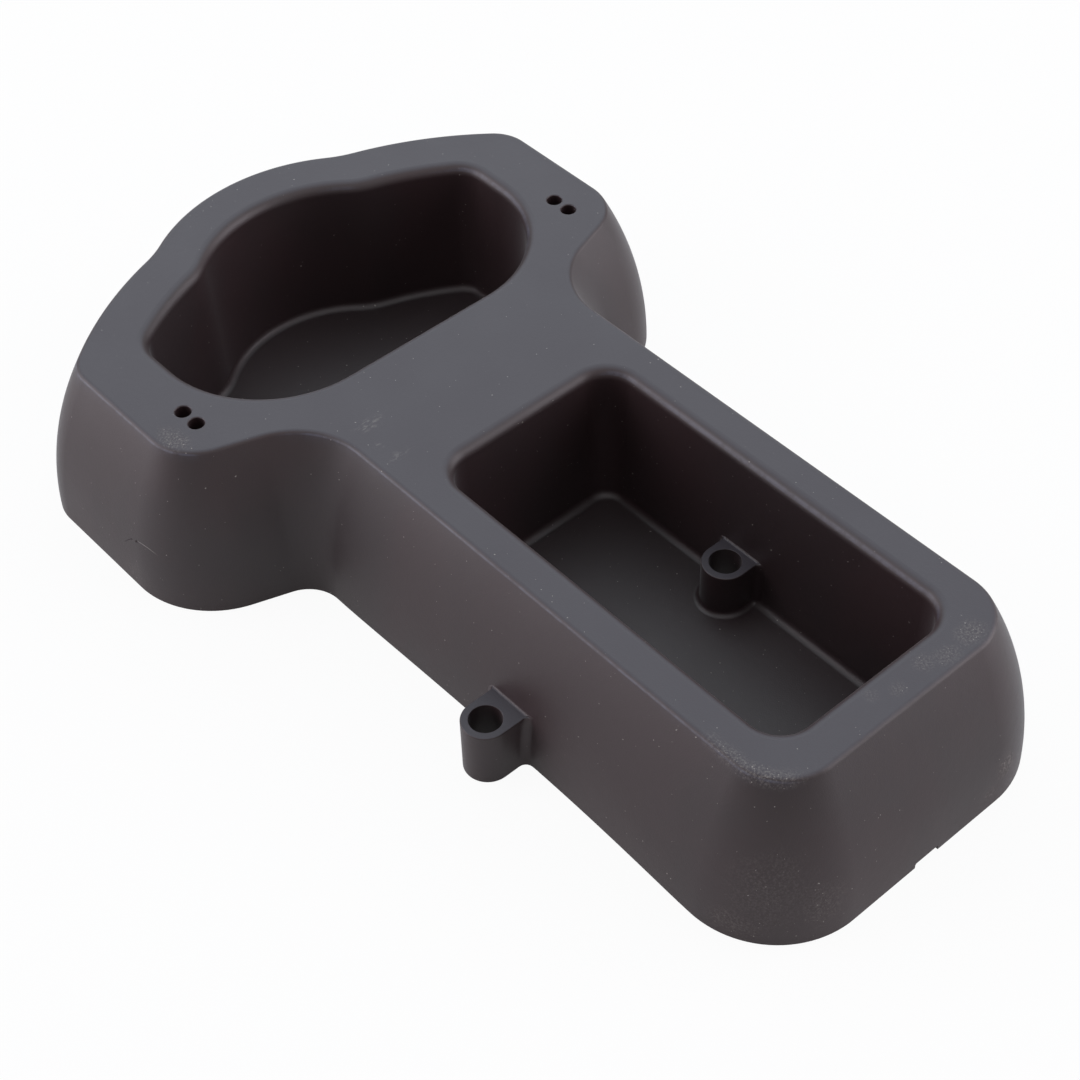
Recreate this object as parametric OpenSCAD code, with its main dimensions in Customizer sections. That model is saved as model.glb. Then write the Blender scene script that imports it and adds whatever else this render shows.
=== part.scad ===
// Riser base: one moulding in charcoal plastic that lifts a machine off its pad.
// A wide head with a deep pocket, a long body with a rectangular pocket, two anchor
// bosses, four screw holes on the head and a hollow, ribbed underside.
// Millimetres. +X runs from the head to the tail, +Y across, +Z up.
// The origin is the middle of the foot, on the floor.

/* [Part] */
// Piece to show

/* [Overall] */
// Height from the floor to the top face
height = 70; // [62:0.5:80]
// Distance from the origin to the tail along the foot
tail_reach = 211.3; // [195:0.5:240]
// Half width of the body along the foot
body_half = 77.1; // [74:0.1:84]
// Radius of the two tail corners along the foot
tail_corner_r = 39.8; // [32:0.2:50]

/* [Outer wall] */
// Radius of the bulging wall profile, seen in a vertical cut
dome_r = 154; // [140:1:200]
// Depth of that profile's centre below the floor
dome_sink = 1.5; // [0:0.1:4]
// Radius where the wall turns into the top face
top_edge_r = 2.5; // [1:0.1:4]

/* [Head] */
// Distance from the origin to the centre of the end bump
bump_x = 115.05; // [110:0.05:120]
// Radius of the end bump along the foot
bump_r = 96.2; // [92:0.1:99]
// Distance from the origin to the centre of the wide end arc
end_arc_x = 20.15; // [15:0.05:25]
// Radius of the wide end arc along the foot
end_arc_r = 181.6; // [178:0.1:186]
// Radius of the hollow between bump and end arc along the foot
kink_r = 32.4; // [28:0.1:40]
// Half width of the head along the foot
head_half = 130.6; // [128:0.1:134]
// Radius of the outer head corners along the foot
head_corner_r = 39.8; // [34:0.2:44]
// Distance from the origin to the centre of the shoulder corners
shoulder_x = 86.1; // [82:0.1:90]
// Radius of the shoulder corners along the foot
shoulder_r = 40; // [36:0.2:44]

/* [Neck] */
// Distance from the origin to the centre of the hollow neck curve
neck_x = 27.8; // [24:0.1:32]
// Radius of the hollow neck curve along the foot
neck_r = 16; // [12:0.2:19]

/* [Head pocket] */
// Radius of the pocket wall behind the end bump
head_pocket_bump_r = 57.4; // [55:0.1:60]
// Radius of the pocket wall behind the wide end arc
head_pocket_arc_r = 141; // [139:0.1:143]
// Radius of the hollow between them
head_pocket_kink_r = 28; // [22:0.5:36]
// Half width of the pocket
head_pocket_half = 84.2; // [80:0.1:86]
// Radius of the two corners at the outer end
head_pocket_corner_r = 14; // [11:0.2:20]
// Radius of the two rounded ends on the body side
head_pocket_end_r = 49; // [40:0.5:54]
// Distance from the origin to the straight wall on the body side
head_pocket_x = 65.2; // [62:0.1:72]

/* [Body pocket] */
// Position of the head-side wall along X
body_pocket_start = -0.3; // [-4:0.1:6]
// Position of the tail-side wall along X
body_pocket_end = 176; // [165:0.1:178]
// Half width of the pocket
body_pocket_half = 42.9; // [38:0.1:44]
// Radius of the four corners
body_pocket_corner_r = 13; // [10:0.2:18]

/* [Pocket form] */
// Thickness of both pocket floors
floor_t = 4.5; // [3:0.1:8]
// Draft of the pocket walls in degrees
pocket_draft = 2.6; // [1:0.1:3]
// Radius round the rim of each pocket
rim_r = 5; // [2:0.1:6]
// Radius round the floor of each pocket
floor_r = 3.5; // [1:0.1:5]

/* [Anchor bosses] */
// Radius of the anchor bolt bore
anchor_bore_r = 6.35; // [5:0.05:7]
// Radius of the boss round the bore, at its top
boss_r = 9.4; // [9:0.1:11]
// Height of the boss top above the floor
boss_top = 25; // [18:0.5:32]
// Position of the outside boss along X
outer_boss_x = 73.7; // [60:0.1:140]
// Distance of the outside boss from the middle line
outer_boss_y = 85.7; // [84:0.1:90]
// Position of the pocket boss along X
pocket_boss_x = 77.5; // [60:0.1:140]
// Distance of the pocket boss from the middle line
pocket_boss_y = 32; // [30:0.1:33]
// Radius of the hollow corner between boss and wall
boss_web_r = 3.5; // [2.5:0.1:4]
// Radius of the hollow corner between the pocket boss and the floor
boss_foot_r = 2.5; // [1:0.1:2.8]
// Radius of the hollow corner between the top of a boss and the wall
boss_back_r = 1.2; // [0.6:0.1:2]
// Draft of the boss wall in degrees
boss_draft = 1; // [0:0.1:2]

/* [Screw holes] */
// Radius of the four screw holes
screw_r = 3.2; // [2.5:0.05:3.5]
// Spacing of the two holes of a pair
screw_pitch = 8.8; // [8:0.1:11]
// Distance across the head between the pairs
screw_span = 190.6; // [186:0.1:194]
// Distance from the origin to the middle of a pair
screw_x = 86.1; // [82:0.1:90]
// Depth of the screw pillars below the top face
screw_depth = 32; // [20:1:40]
// Wall of the screw pillars round their holes
screw_wall = 3.6; // [2.5:0.1:5]

/* [Underside] */
// Thickness of outer wall, deck and pocket walls
wall_t = 4.8; // [4:0.1:6]
// Thickness of the stiffening ribs
rib_t = 3; // [2:0.1:4]
// Gap between the ribs and the floor
rib_lift = 1.5; // [0.5:0.1:4]
// Distance of the two lengthwise ribs from the middle line
rib_y = 28; // [20:1:34]
// Width of the drain notch in the foot of the tail wall
notch_w = 12; // [6:0.5:20]
// Height of the drain notch
notch_h = 2.4; // [1:0.1:4]
// Radius of the two upper corners of the notch
notch_r = 0.8; // [0.3:0.1:0.9]

/* [Hidden] */
charcoal = [0.29, 0.28, 0.30];
// Distance by which a cutter runs past the face it opens
past = 1;
// Depth by which joined pieces are sunk in each other
overlap = 0.05;
// Points closer together than this count as one
same_point = 0.05;
// Finest and coarsest turn of a plan curve between two points, in degrees
fine_turn = 4;
coarse_turn = 15;
// Largest gap between a plan curve and its chords
chord_gap = 0.12;
// Smallest radius that is used to choose the chords of a curve
least_r = 0.5;
// Numbers of flats that make up each curve of a vertical profile
dome_steps = 6;
edge_steps = 3;
rim_steps = 4;
floor_steps = 3;
hollow_steps = 4;
boss_steps = 3;
back_steps = 4;
// Flats of the small round corners and of the round cuts
corner_fn = 24;
bore_fn = 96;

// Outer wall profile: centre of its arc, measured from the foot line
dome_u = -sqrt(dome_r * dome_r - dome_sink * dome_sink);
// Centre and end angle of the small radius at the top edge
edge_z = height - top_edge_r;
edge_u = dome_u + sqrt(pow(dome_r - top_edge_r, 2) - pow(edge_z + dome_sink, 2));
edge_a = asin((edge_z + dome_sink) / (dome_r - top_edge_r));

// Distance from a drafted wall to the centre of a radius on it, for a radius of 1
fillet_set = (1 - sin(pocket_draft)) / cos(pocket_draft);

// Width of the broken edge round the top of a boss
boss_edge = 0.5;
// Length and depth over which a boss web runs out into the wall
web_run = 1.2;
web_sink = 0.15;

// Positions of the crosswise ribs along X
cross_ribs = [-160, -124, -screw_x, -42, 20, 56, 92, 130, 166];

// How far the outer wall has drawn in at height z: 0 at the foot, then negative.
// With a smaller radius it is the inner face of the same wall.
function drawn_in(z, r = dome_r) = dome_u + sqrt(r * r - pow(z + dome_sink, 2));

// Move of a drafted pocket wall at height z, measured from the top face
function drafted(z) = -(height - z) * tan(pocket_draft);

// Plan outlines.
// An outline is a closed run of corners [x, y, r], anticlockwise, joined by straight
// tangents. r > 0 is a round corner, r < 0 a hollow one, r = 0 a sharp one. Adding the
// same amount to every r moves the whole outline outward by that amount.

// Direction that the straight run from corner a to corner b faces
function facing(a, b) =
    let (away = [b[0] - a[0], b[1] - a[1]])
    let (ratio = (a[2] - b[2]) / norm(away))
    atan2(away[1], away[0]) - acos(max(-1, min(1, ratio)));

// Signed turn from direction a to direction b. A half turn counts as a round one.
function turn(a, b) = (b - a + 2 * 360 + 179) % 360 - 179;

// Number of chords for a corner of radius r that turns by t degrees
function chords(r, t) =
    let (open = 2 * acos(1 - chord_gap / max(least_r, abs(r))))
    let (step = max(fine_turn, min(coarse_turn, open)))
    max(1, ceil(abs(t) / step - 0.01));

// Points of the outline moved outward by grow. The number of chords comes from the
// outline before the move, so all levels of one wall match point for point.
function outline(run, grow = 0) =
    let (n = len(run))
    [
        for (i = [0 : n - 1])
        let (here = run[i])
        let (a0 = facing(run[(i + n - 1) % n], here))
        let (t = turn(a0, facing(here, run[(i + 1) % n])))
        let (c = chords(here[2], t))
        for (k = [0 : c])
        let (a = a0 + t * k / c)
        [here[0] + (here[2] + grow) * cos(a), here[1] + (here[2] + grow) * sin(a)]
    ];

// Numbers of the points worth keeping: one that falls on the next is left out
function kept(points) =
    let (n = len(points))
    [for (i = [0 : n - 1]) if (norm(points[i] - points[(i + 1) % n]) > same_point) i];

// Level rings for a wall whose profile is a list of [outward move, height]
function rings(run, profile) =
    let (keep = kept(outline(run)))
    [
        for (step = profile)
        let (points = outline(run, step[0]))
        [for (i = keep) [points[i][0], points[i][1], step[1]]]
    ];

// Corner of the hollow curve of radius k that touches two round ones from outside.
// Both are centred on the middle line, at -ax with radius ar and at -bx with radius br.
function between(ax, ar, bx, br, k, side) =
    let (gap = bx - ax)
    let (u = (pow(ar + k, 2) - pow(br + k, 2) + gap * gap) / (2 * gap))
    [-ax - u, side * sqrt(pow(ar + k, 2) - u * u), -k];

// Round corner of radius c inside the arc of radius ar centred at -ax, touching
// the line at half from the middle line
function corner_in(ax, ar, half, c, side) =
    [-ax - sqrt(pow(ar - c, 2) - pow(half - c, 2)), side * (half - c), c];

// Closed run from a near half and a far half that start at the same corner
function both_halves(near, far) = concat(near, [for (i = [len(far) - 1 : -1 : 1]) far[i]]);

// Foot of the outer wall on one side, from the end bump to the tail
function foot_half(side) = [
    [-bump_x, 0, bump_r],
    between(end_arc_x, end_arc_r, bump_x, bump_r, kink_r, side),
    [-end_arc_x, 0, end_arc_r],
    corner_in(end_arc_x, end_arc_r, head_half, head_corner_r, side),
    [-shoulder_x, side * (head_half - shoulder_r), shoulder_r],
    [-neck_x, side * (body_half + neck_r), -neck_r],
    [tail_reach - tail_corner_r, side * (body_half - tail_corner_r), tail_corner_r]
];

// Mouth of the head pocket on one side, from the end bump to the body side
function head_pocket_side(side) = [
    [-bump_x, 0, head_pocket_bump_r],
    between(end_arc_x, head_pocket_arc_r, bump_x, head_pocket_bump_r, head_pocket_kink_r, side),
    [-end_arc_x, 0, head_pocket_arc_r],
    corner_in(end_arc_x, head_pocket_arc_r, head_pocket_half, head_pocket_corner_r, side),
    [
        -head_pocket_x - head_pocket_end_r,
        side * (head_pocket_half - head_pocket_end_r),
        head_pocket_end_r
    ]
];

foot_run = both_halves(foot_half(-1), foot_half(1));
head_pocket_run = both_halves(head_pocket_side(-1), head_pocket_side(1));
body_pocket_run = [
    for (c = [[-1, -1], [1, -1], [1, 1], [-1, 1]])
    [
        (c[0] < 0 ? body_pocket_start : body_pocket_end) - c[0] * body_pocket_corner_r,
        c[1] * (body_pocket_half - body_pocket_corner_r),
        body_pocket_corner_r
    ]
];

// Vertical profiles, each a list of [outward move, height].

// Everything that meets the floor starts below it and is cut flat at the end: the outer
// wall and the outside boss by one step, the hollow by two, the pocket walls by three.

// Outer wall: the bulging arc, then the small radius at the top edge
outer_profile = concat(
    [
        for (k = [0 : dome_steps])
        let (a0 = asin((dome_sink - past) / dome_r))
        let (a = a0 + (edge_a - a0) * k / dome_steps)
        [dome_u + dome_r * cos(a), dome_r * sin(a) - dome_sink]
    ],
    [
        for (k = [1 : edge_steps])
        let (a = edge_a + (90 - edge_a) * k / edge_steps)
        [edge_u + top_edge_r * cos(a), edge_z + top_edge_r * sin(a)]
    ]
);

// Hollow under the deck: the same bulge, one wall thickness further in
hollow_profile = [
    for (k = [0 : hollow_steps])
    let (z = -2 * past + (height - wall_t + 2 * past) * k / hollow_steps)
    [drawn_in(z, dome_r - wall_t), z]
];

// Pocket: floor radius, drafted wall, rim radius, then past the top face
pocket_profile = concat(
    [
        for (k = [0 : floor_steps])
        let (a = 90 - (90 - pocket_draft) * k / floor_steps)
        [
            drafted(floor_t) - floor_r * (fillet_set - cos(a)),
            floor_t + floor_r * (1 - sin(a))
        ]
    ],
    [
        for (k = [0 : rim_steps])
        let (a = pocket_draft + (90 - pocket_draft) * k / rim_steps)
        [rim_r * (fillet_set - cos(a)), height - rim_r * (1 - sin(a)) + overlap * k / rim_steps]
    ],
    [[rim_r * fillet_set, height + past]]
);

// Outside of a pocket wall, seen from below
shell_profile = [for (z = [-3 * past, height]) [wall_t + drafted(z), z]];

// Sum of the numbers of two points that lie opposite each other across the axis of an
// outline. An odd run of corners has its first corner on the axis, an even run has none.
function axis_sum(run) =
    let (last = run[len(run) - 1])
    let (t = turn(facing(last, run[0]), facing(run[0], run[1])))
    len(run) % 2 == 1 ? chords(run[0][2], t) : -1;

// Flat cap of n points as strips from side to side, each one convex
function cap(n, axis) = [
    for (j = [ceil(axis / 2) : floor((axis + n) / 2) - 1])
    let (strip = [j % n, (j + 1) % n, (axis - j - 1 + n) % n, (axis - j + n) % n])
    strip[0] == strip[3]
        ? [strip[0], strip[1], strip[2]]
        : strip[1] == strip[2] ? [strip[0], strip[1], strip[3]] : strip
];

// Faces that join m matching rings of n points, lowest first
function skin(n, m, axis) = concat(
    cap(n, axis),
    [
        for (i = [0 : m - 2])
        for (j = [0 : n - 1])
        let (k = (j + 1) % n)
        [i * n + j, (i + 1) * n + j, (i + 1) * n + k, i * n + k]
    ],
    [for (strip = cap(n, axis)) [for (i = [len(strip) - 1 : -1 : 0]) (m - 1) * n + strip[i]]]
);

// Solid between matching level rings, lowest first
module loft(levels, axis) {
    polyhedron(
        points = [for (ring = levels) each ring],
        faces = skin(len(levels[0]), len(levels), axis),
        convexity = 8
    );
}

// Solid inside a wall with the given plan outline and vertical profile
module inside_wall(run, profile) {
    loft(rings(run, profile), axis_sum(run));
}

// Outline of a boss that is spread by the given amount: round front, straight sides,
// hollow webs that run out on the wall, and a square back sunk in it
function boss_run(x, y, wall_y, spread) =
    let (front = boss_r + spread)
    let (web_x = front + boss_web_r)
    let (half = [
        [web_x, wall_y - boss_web_r, -boss_web_r],
        [web_x + web_run, wall_y + web_sink, 0],
        [web_x + web_run, wall_y + wall_t / 2, 0]
    ])
    concat(
        [[x, y, front]],
        [for (c = half) [x + c[0], c[1], c[2]]],
        [for (i = [len(half) - 1 : -1 : 0]) [x - half[i][0], half[i][1], half[i][2]]]
    );

// Profile of a boss on height z0: a hollow foot if it has one, the drafted wall and
// the broken top edge, each level as [outward move, height]
function boss_profile(z0, foot_r) =
    let (foot_top = z0 + foot_r)
    let (half_round = boss_edge * (1 - cos(45)))
    concat(
        foot_r > 0 ? [[foot_r, z0 - past], [foot_r, z0 - overlap]] : [[0, z0]],
        foot_r > 0
            ? [
                for (k = [1 : boss_steps])
                let (a = 90 * k / boss_steps)
                [foot_r * (1 - sin(a)), z0 + foot_r * (1 - cos(a))]
            ]
            : [],
        [
            for (k = [1 : boss_steps])
            [0, foot_top + (boss_top - boss_edge - foot_top) * k / boss_steps]
        ],
        [[-half_round, boss_top - half_round], [-boss_edge, boss_top]]
    );

// Boss that stands on height z0 against a wall whose face is at wall_at(z) along Y
module anchor_boss(x, y, z0, foot_r, wall_at) {
    levels = [
        for (step = boss_profile(z0, foot_r))
        let (spread = step[0] + (boss_top - step[1]) * tan(boss_draft))
        let (points = outline(boss_run(x, y, wall_at(step[1]), spread)))
        [for (i = kept(points)) [points[i][0], points[i][1], step[1]]]
    ];
    loft(levels, axis_sum(boss_run(x, y, wall_at(boss_top), 0)));
    boss_back(x, wall_at(boss_top));
}

// Hollow corner between the flat top of a boss and the wall behind it
module boss_back(x, wall_y) {
    r = boss_back_r;
    arc = [
        for (k = [0 : back_steps])
        let (a = 90 * k / back_steps)
        [wall_y - r + (r + overlap) * sin(a), boss_top + r - (r + overlap) * cos(a)]
    ];
    sunk = boss_top - boss_edge;
    behind = wall_y + past;
    half = boss_r - 2 * boss_edge;
    translate([x - half, 0, 0])
    rotate([90, 0, 90])
    linear_extrude(2 * half)
    polygon(concat(arc, [[behind, arc[back_steps][1]], [behind, sunk], [arc[0][0], sunk]]));
}

// Boss outside the near wall, standing on the floor
module outer_boss() {
    wall_at = function(z) -body_half - drawn_in(z);
    anchor_boss(outer_boss_x, -outer_boss_y, -past, 0, wall_at);
}

// Boss inside the body pocket, against its far wall
module pocket_boss() {
    wall_at = function(z) body_pocket_half + drafted(z);
    anchor_boss(pocket_boss_x, pocket_boss_y, floor_t, boss_foot_r, wall_at);
}

// Bores for the two anchor bolts, through boss and floor
module anchor_bores() {
    for (place = [[outer_boss_x, -outer_boss_y], [pocket_boss_x, pocket_boss_y]])
    translate([place[0], place[1], -past])
    cylinder(r = anchor_bore_r, h = boss_top + 2 * past, $fn = bore_fn);
}

// Calls its children at the four screw holes, at the lower end of their pillars
module at_screws() {
    for (end = [-1, 1])
    for (side = [-1, 1])
    translate([-screw_x + end * screw_pitch / 2, side * screw_span / 2, height - screw_depth])
    children();
}

module screw_holes() {
    at_screws()
    translate([0, 0, -past])
    cylinder(r = screw_r, h = screw_depth + 2 * past, $fn = bore_fn);
}

// Pillars round the screw holes, one web joining the two of a pair
module screw_pillars() {
    pillar_r = screw_r + screw_wall;
    at_screws()
    cylinder(r = pillar_r, h = screw_depth, $fn = bore_fn);
    for (side = [-1, 1])
    translate([-screw_x - screw_pitch / 2, side * screw_span / 2 - pillar_r, height - screw_depth])
    cube([screw_pitch, 2 * pillar_r, screw_depth]);
}

// Ribs across the whole base, and two along it
module ribs() {
    rib_h = height - rib_lift;
    for (x = cross_ribs)
    translate([x - rib_t / 2, -head_half, rib_lift])
    cube([rib_t, 2 * head_half, rib_h]);
    for (side = [-1, 1])
    translate([-tail_reach, side * rib_y - rib_t / 2, rib_lift])
    cube([2 * tail_reach, rib_t, rib_h]);
}

// Space under the deck: it leaves the pocket walls, the ribs and the screw pillars
module underside() {
    difference() {
        inside_wall(foot_run, hollow_profile);
        inside_wall(head_pocket_run, shell_profile);
        inside_wall(body_pocket_run, shell_profile);
        ribs();
        screw_pillars();
    }
}

// What lies below the floor
module below_floor() {
    reach = tail_reach + 2 * past;
    across = head_half + 2 * past;
    translate([-reach, -across, -4 * past])
    cube([2 * reach, 2 * across, 4 * past]);
}

// Drain notch through the foot of the tail wall
module drain_notch() {
    translate([tail_reach - wall_t - past, 0, 0])
    rotate([90, 0, 90])
    linear_extrude(wall_t + 2 * past)
    union() {
        translate([-notch_w / 2, -past])
        square([notch_w, past + notch_h - notch_r]);
        translate([-notch_w / 2 + notch_r, 0])
        square([notch_w - 2 * notch_r, notch_h]);
        for (side = [-1, 1])
        translate([side * (notch_w / 2 - notch_r), notch_h - notch_r])
        circle(r = notch_r, $fn = corner_fn);
    }
}

module riser_base() {
    color(charcoal)
    difference() {
        union() {
            difference() {
                inside_wall(foot_run, outer_profile);
                underside();
                inside_wall(head_pocket_run, pocket_profile);
                inside_wall(body_pocket_run, pocket_profile);
            }
            outer_boss();
            pocket_boss();
        }
        anchor_bores();
        screw_holes();
        drain_notch();
        below_floor();
    }
}

riser_base();
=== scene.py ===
# %% [markdown]
# # A riser base, moulded in charcoal plastic
# A riser base lifts a machine off its pad. It is one moulding: a wide head with a deep
# pocket, a long body with a rectangular pocket, two anchor bosses and four screw holes.
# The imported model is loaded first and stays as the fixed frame. The moulding is then
# made again with finer curves, to the same overall size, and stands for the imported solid.

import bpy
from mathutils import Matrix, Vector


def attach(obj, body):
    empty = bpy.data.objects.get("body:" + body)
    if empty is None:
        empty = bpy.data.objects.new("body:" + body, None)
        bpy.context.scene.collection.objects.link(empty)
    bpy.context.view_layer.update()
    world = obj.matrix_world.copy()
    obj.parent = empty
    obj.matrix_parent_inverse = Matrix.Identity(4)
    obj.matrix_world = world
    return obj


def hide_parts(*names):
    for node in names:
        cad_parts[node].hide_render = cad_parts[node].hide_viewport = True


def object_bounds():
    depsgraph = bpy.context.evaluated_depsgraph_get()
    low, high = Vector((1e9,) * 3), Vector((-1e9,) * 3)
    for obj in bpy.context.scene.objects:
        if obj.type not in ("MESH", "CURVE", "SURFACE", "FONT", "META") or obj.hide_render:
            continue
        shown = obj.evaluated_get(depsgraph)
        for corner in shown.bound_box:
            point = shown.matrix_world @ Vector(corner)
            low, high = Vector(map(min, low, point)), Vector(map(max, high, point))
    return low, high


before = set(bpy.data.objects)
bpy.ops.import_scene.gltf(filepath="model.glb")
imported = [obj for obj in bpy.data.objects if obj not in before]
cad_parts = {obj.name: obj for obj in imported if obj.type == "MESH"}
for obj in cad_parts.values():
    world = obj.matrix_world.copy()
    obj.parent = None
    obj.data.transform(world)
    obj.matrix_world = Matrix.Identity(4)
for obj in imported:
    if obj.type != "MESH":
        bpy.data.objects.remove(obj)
cad_box = [list(corner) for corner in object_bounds()]
print("box of the packed model, in metres:", cad_box)

# %% [markdown]
# ## The outline of the foot
# Seen from above, the foot is a closed run of round and hollow corners joined by straight
# tangents. It could be drawn as a Bezier curve, but then no size could be changed by
# itself. Here each corner is a centre and a radius, positive for round and negative for
# hollow, and adding one amount to every radius moves the whole outline outward. That is
# how a mould maker offsets a wall, and all levels of one wall match point for point.
# Everything is drawn in millimetres and turned into metres at the end.

# %% Corners and their tangents
from math import acos, asin, atan, atan2, ceil, cos, dist, hypot, pi, radians, sin, sqrt, tan


def facing(a, b):
    """Direction that the straight run from corner a to corner b faces."""
    away = (b[0] - a[0], b[1] - a[1])
    ratio = (a[2] - b[2]) / hypot(*away)
    return atan2(away[1], away[0]) - acos(max(-1, min(1, ratio)))


def turn(a, b):
    """Signed turn from direction a to direction b. A half turn counts as a round one."""
    nearly_half = radians(179)
    return (b - a + nearly_half) % (2 * pi) - nearly_half


def corner_arcs(run):
    """Start angle and signed turn of each corner of a closed run."""
    arcs = []
    for i, here in enumerate(run):
        start = facing(run[i - 1], here)
        end = facing(here, run[(i + 1) % len(run)])
        arcs.append((start, turn(start, end)))
    return arcs


def on_arc(corner, angle, grow=0):
    """Point of a corner in one direction from its centre."""
    x, y, r = corner
    return (x + (r + grow) * cos(angle), y + (r + grow) * sin(angle))


# %% Points along an outline
longest_chord = 2.6
longest_piece = 7
coarsest_turn = radians(6)
same_point = 0.05


def point_plan(run, inward=0):
    """Chords on each corner, and pieces of the straight after it, for a wall that
    is moved inward by up to the given amount."""
    arcs = corner_arcs(run)
    plan = []
    for i, corner in enumerate(run):
        start, bend = arcs[i]
        after = (i + 1) % len(run)
        widest = max(abs(corner[2]), abs(corner[2] - inward))
        chords = max(ceil(abs(bend) * widest / longest_chord), ceil(abs(bend) / coarsest_turn))
        gap = dist(on_arc(corner, start + bend), on_arc(run[after], arcs[after][0]))
        pieces = ceil(gap / longest_piece) if gap > same_point else 0
        plan.append((0 if corner[2] == 0 else chords, pieces))
    return plan


def trace(run, plan, grow=0):
    """Points of the outline moved outward by grow, as many as the plan says."""
    arcs = corner_arcs(run)
    points = []
    for i, (chords, pieces) in enumerate(plan):
        start, bend = arcs[i]
        after = (i + 1) % len(run)
        for k in range(chords + 1 if pieces else chords):
            points.append(on_arc(run[i], start + bend * k / max(chords, 1), grow))
        here = on_arc(run[i], start + bend, grow)
        there = on_arc(run[after], arcs[after][0], grow)
        for k in range(1, pieces):
            share = k / pieces
            points.append((here[0] + share * (there[0] - here[0]), here[1] + share * (there[1] - here[1])))
    return points


# %% The foot of the outer wall
tail_reach = 211.3
body_half = 77.1
tail_corner_r = 39.8
bump_x, bump_r = 115.05, 96.2
end_arc_x, end_arc_r = 20.55, 181.6
kink_r = 32.4
head_half, head_corner_r, head_foot_r = 130.6, 36, 22
shoulder_x, shoulder_r = 86.1, 40
neck_x, neck_r = 27.8, 16


def between(ax, ar, bx, br, hollow_r, side):
    """Hollow corner that touches two round ones centred on the middle line."""
    gap = bx - ax
    u = ((ar + hollow_r) ** 2 - (br + hollow_r) ** 2 + gap * gap) / (2 * gap)
    return (-ax - u, side * sqrt((ar + hollow_r) ** 2 - u * u), -hollow_r)


def corner_in(ax, ar, half, corner_r, side):
    """Round corner inside a large arc, touching the line at half from the middle line."""
    reach = sqrt((ar - corner_r) ** 2 - (half - corner_r) ** 2)
    return (-ax - reach, side * (half - corner_r), corner_r)


def both_halves(half_run):
    """Closed run made of the near half and its mirror image, from the end bump round."""
    near, far = half_run(-1), half_run(1)
    return near + far[:0:-1]


def foot_half(side, corner_r=head_corner_r):
    """Foot of the outer wall on one side, from the end bump to the tail."""
    return [
        (-bump_x, 0, bump_r),
        between(end_arc_x, end_arc_r, bump_x, bump_r, kink_r, side),
        (-end_arc_x, 0, end_arc_r),
        corner_in(end_arc_x, end_arc_r, head_half, corner_r, side),
        (-shoulder_x, side * (head_half - shoulder_r), shoulder_r),
        (-neck_x, side * (body_half + neck_r), -neck_r),
        (tail_reach - tail_corner_r, side * (body_half - tail_corner_r), tail_corner_r),
    ]


foot_run = both_halves(foot_half)
print("corners of the foot:", len(foot_run))

# %% [markdown]
# ## The bulging outer wall
# The wall draws in by 16.9 mm on one large arc and then turns into the deck on a small
# one, so the flat of the deck starts 19.1 mm inside the foot. A bevel on a straight block
# can't bulge like that, so the wall is a loft: the foot outline at each level of the arc,
# moved inward as far as the arc says. The head's corners are tighter at the foot than a
# plain offset would make them, and the long sides of the body bow in by 1.8 mm along
# their foot, as a wall does that has shrunk in the mould.

# %% The wall's vertical profile
height = 70
dome_r, dome_sink = 154, 1.5
top_edge_r = 2.5
dome_steps, edge_steps = 24, 8
past = 1

dome_u = -sqrt(dome_r ** 2 - dome_sink ** 2)
edge_z = height - top_edge_r
edge_u = dome_u + sqrt((dome_r - top_edge_r) ** 2 - (edge_z + dome_sink) ** 2)
edge_a = asin((edge_z + dome_sink) / (dome_r - top_edge_r))


def drawn_in(z, r=dome_r):
    """Move of the wall at height z: 0 at the foot, then inward."""
    return dome_u + sqrt(r * r - (z + dome_sink) ** 2)


def even_steps(start, end, steps):
    """Evenly spaced values from start to end, both included."""
    return [start + (end - start) * k / steps for k in range(steps + 1)]


foot_a = asin((dome_sink - past) / dome_r)
dome = [
    (dome_u + dome_r * cos(a), dome_r * sin(a) - dome_sink)
    for a in even_steps(foot_a, edge_a, dome_steps)
]
edge = [
    (edge_u + top_edge_r * cos(a), edge_z + top_edge_r * sin(a))
    for a in even_steps(edge_a, pi / 2, edge_steps)
]
outer_profile = dome + edge[1:]
draw_total = -edge_u
print("the flat of the deck starts", round(draw_total, 2), "mm inside the foot")

# %% Lofting through matching rings
import bpy


def loft(name, levels):
    """Closed solid through matching rings, each anticlockwise seen from the last one."""
    n = len(levels[0])
    top = (len(levels) - 1) * n
    faces = [list(range(n))[::-1], list(range(top, top + n))]
    for low in range(0, top, n):
        for j in range(n):
            k = (j + 1) % n
            faces.append((low + j, low + k, low + n + k, low + n + j))
    mesh = bpy.data.meshes.new(name)
    mesh.from_pydata([point for ring in levels for point in ring], [], faces)
    solid = bpy.data.objects.new(name, mesh)
    bpy.context.scene.collection.objects.link(solid)
    return solid


# %% The wall's own bow
bow_depth = 1.8
bow_deepest, bow_to_neck, bow_to_tail = 95, 115, 75
bow_ease = 1.3


def bow(x, z):
    """How far a long side of the body is drawn in at one place of its wall."""
    along = (x - bow_deepest) / (bow_to_neck if x < bow_deepest else bow_to_tail)
    if abs(along) >= 1:
        return 0
    return bow_depth * (1 - along * along) ** bow_ease * (1 - z / height)


# %% Rings of the wall
def level_run(z):
    """Foot outline with the head corner that belongs to height z."""
    share = max(0, min(1, -drawn_in(z) / draw_total))
    corner_r = head_foot_r + (head_corner_r - head_foot_r) * share
    return both_halves(lambda side: foot_half(side, corner_r))


def wall_rings(profile, plan):
    """Level rings of a wall that stands on the foot, with its bow."""
    rings = []
    for grow, z in profile:
        points = trace(level_run(z), plan, grow)
        rings.append([(x, y - bow(x, z) * (1 if y > 0 else -1), z) for x, y in points])
    return rings


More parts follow.
